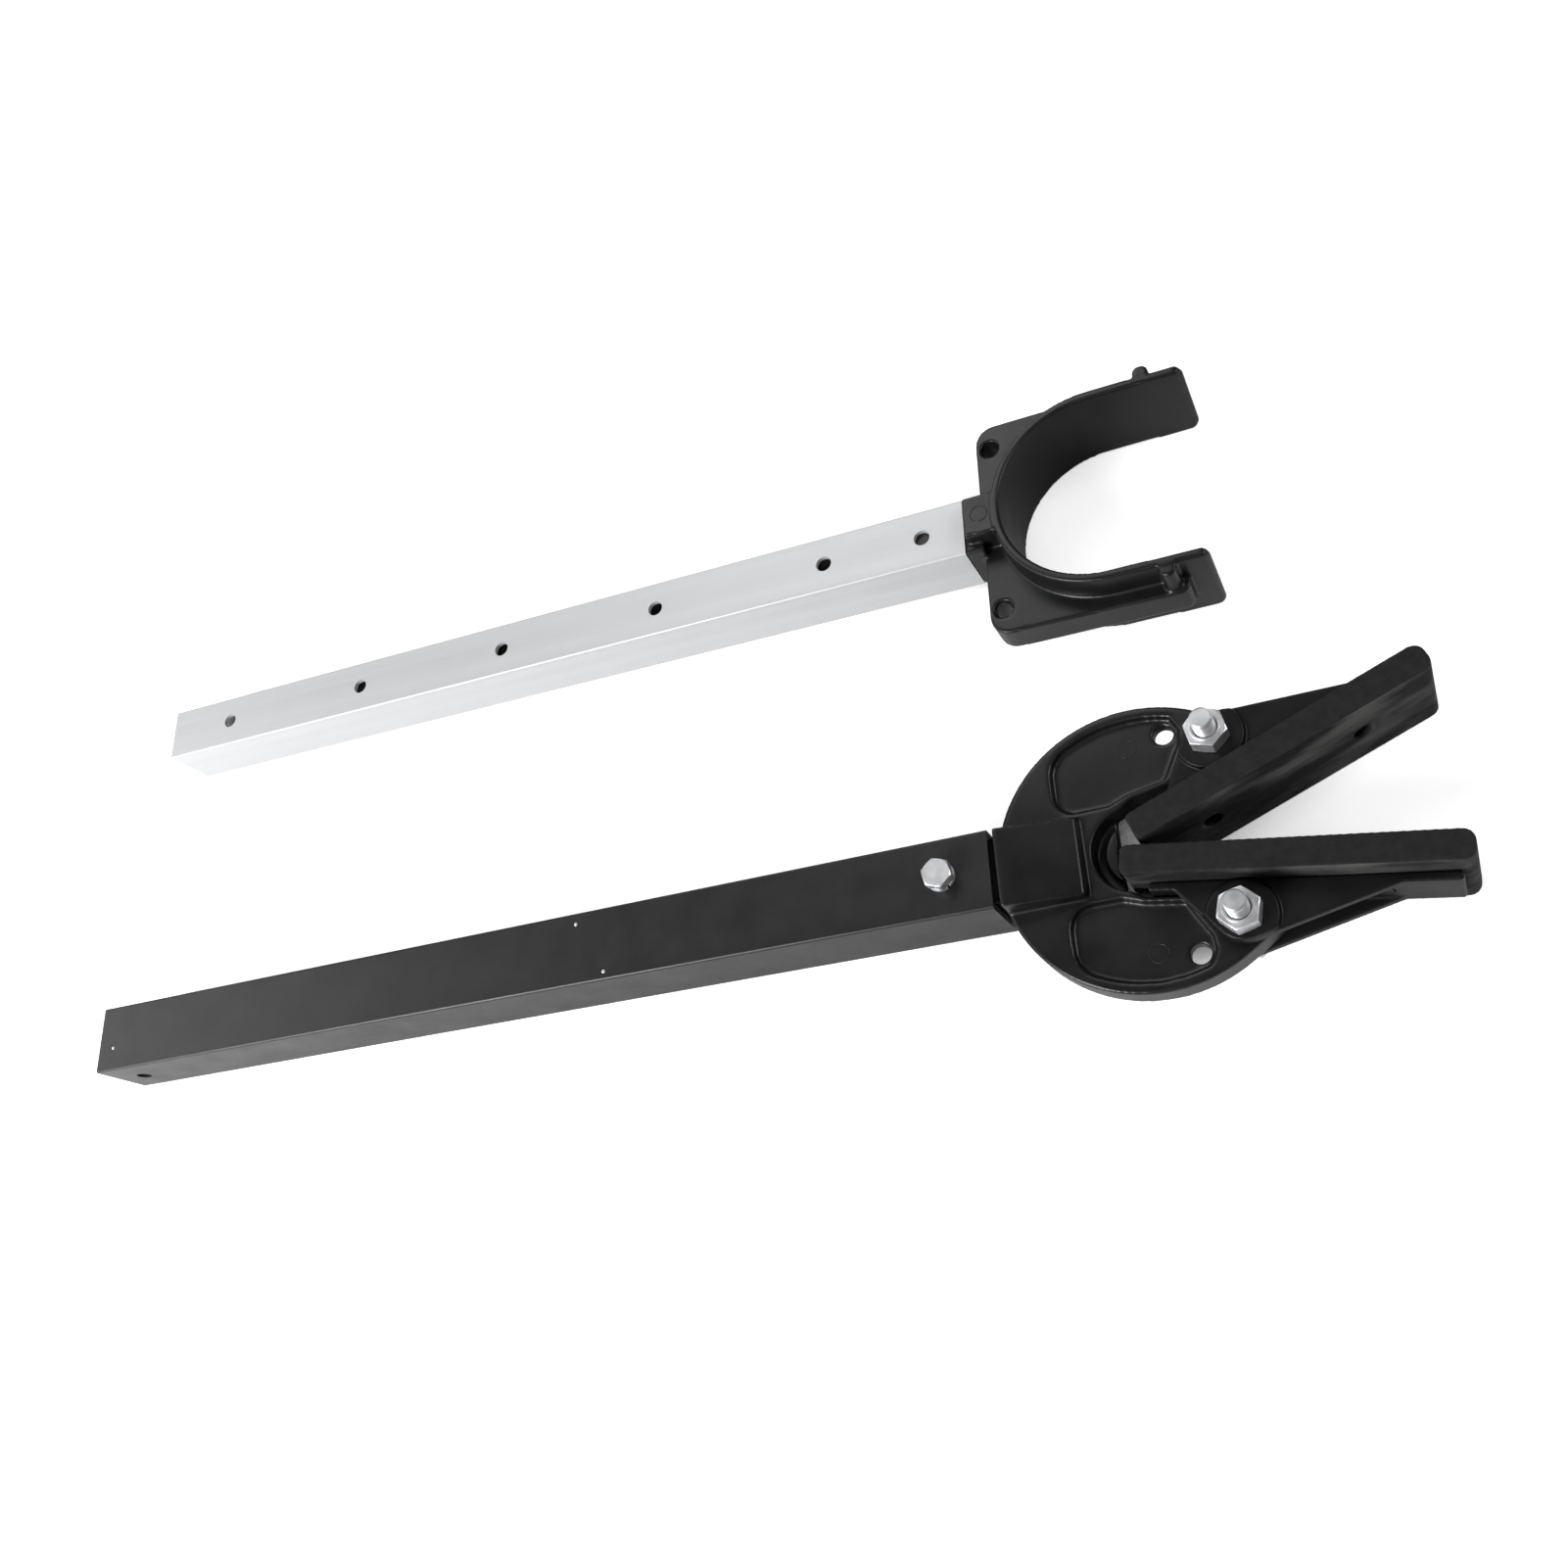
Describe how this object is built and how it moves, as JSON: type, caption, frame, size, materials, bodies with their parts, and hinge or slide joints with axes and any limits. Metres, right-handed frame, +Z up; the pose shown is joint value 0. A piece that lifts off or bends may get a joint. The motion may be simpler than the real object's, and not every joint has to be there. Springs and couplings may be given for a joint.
{
  "type": "telescoping outboard motor support",
  "caption": "Square-tube support in two telescoping halves: black tube with a disc head and padded V arms, and a thinner holed tube with a U yoke.",
  "frame": {"origin": "middle of the underside of the whole model's box, on the floor that both halves lie on", "axes": "+X along the outer tube towards its head, +Y from the outer half towards the inner half, +Z up"},
  "size_m": [0.7394, 0.31, 0.0582],
  "materials": {
    "black_powder_coat": "satin black powder coat on steel",
    "black_casting": "satin black coat on die-cast aluminium",
    "mill_aluminium": "bare drawn aluminium, satin",
    "black_rubber": "matt black rubber with a chalky bloom",
    "bright_zinc": "bright zinc-plated steel"
  },
  "bodies": {
    "outer_half": {"outer_tube": "black_powder_coat", "head_casting": "black_casting", "tube_bolt": "bright_zinc", "tube_bolt_washer": "bright_zinc", "left_pivot_bolt": "bright_zinc", "left_pivot_nut": "bright_zinc", "left_pivot_washer": "bright_zinc", "left_pivot_sleeve": "bright_zinc", "right_pivot_bolt": "bright_zinc", "right_pivot_nut": "bright_zinc", "right_pivot_washer": "bright_zinc", "right_pivot_sleeve": "bright_zinc"},
    "left_arm": {"left_arm_bracket": "black_powder_coat", "left_pad": "black_rubber", "left_pad_screw_inner": "bright_zinc", "left_pad_screw_outer": "bright_zinc"},
    "right_arm": {"right_arm_bracket": "black_powder_coat", "right_pad": "black_rubber", "right_pad_screw_inner": "bright_zinc", "right_pad_screw_outer": "bright_zinc"},
    "inner_half": {"inner_tube": "mill_aluminium", "yoke_casting": "black_casting", "yoke_screw": "bright_zinc", "yoke_screw_washer": "bright_zinc"}
  },
  "joints": [
    {"name": "left_arm_swing", "type": "hinge", "parent": "outer_half", "child": "left_arm", "pos_m": [0.27415, -0.04548, 0.024], "axis": [0, 0, 1], "range_deg": [-11, 0]},
    {"name": "right_arm_swing", "type": "hinge", "parent": "outer_half", "child": "right_arm", "pos_m": [0.27547, -0.12907, 0.024], "axis": [0, 0, 1], "range_deg": [-11, 0]},
    {"name": "length_adjust", "type": "slide", "parent": "outer_half", "child": "inner_half", "axis": [0.9998, -0.0192, 0], "range_m": [0, 0.4]}
  ],
  "couplings": [
    {"joint": "right_arm_swing", "follows": "left_arm_swing", "ratio": 1}
  ]
}
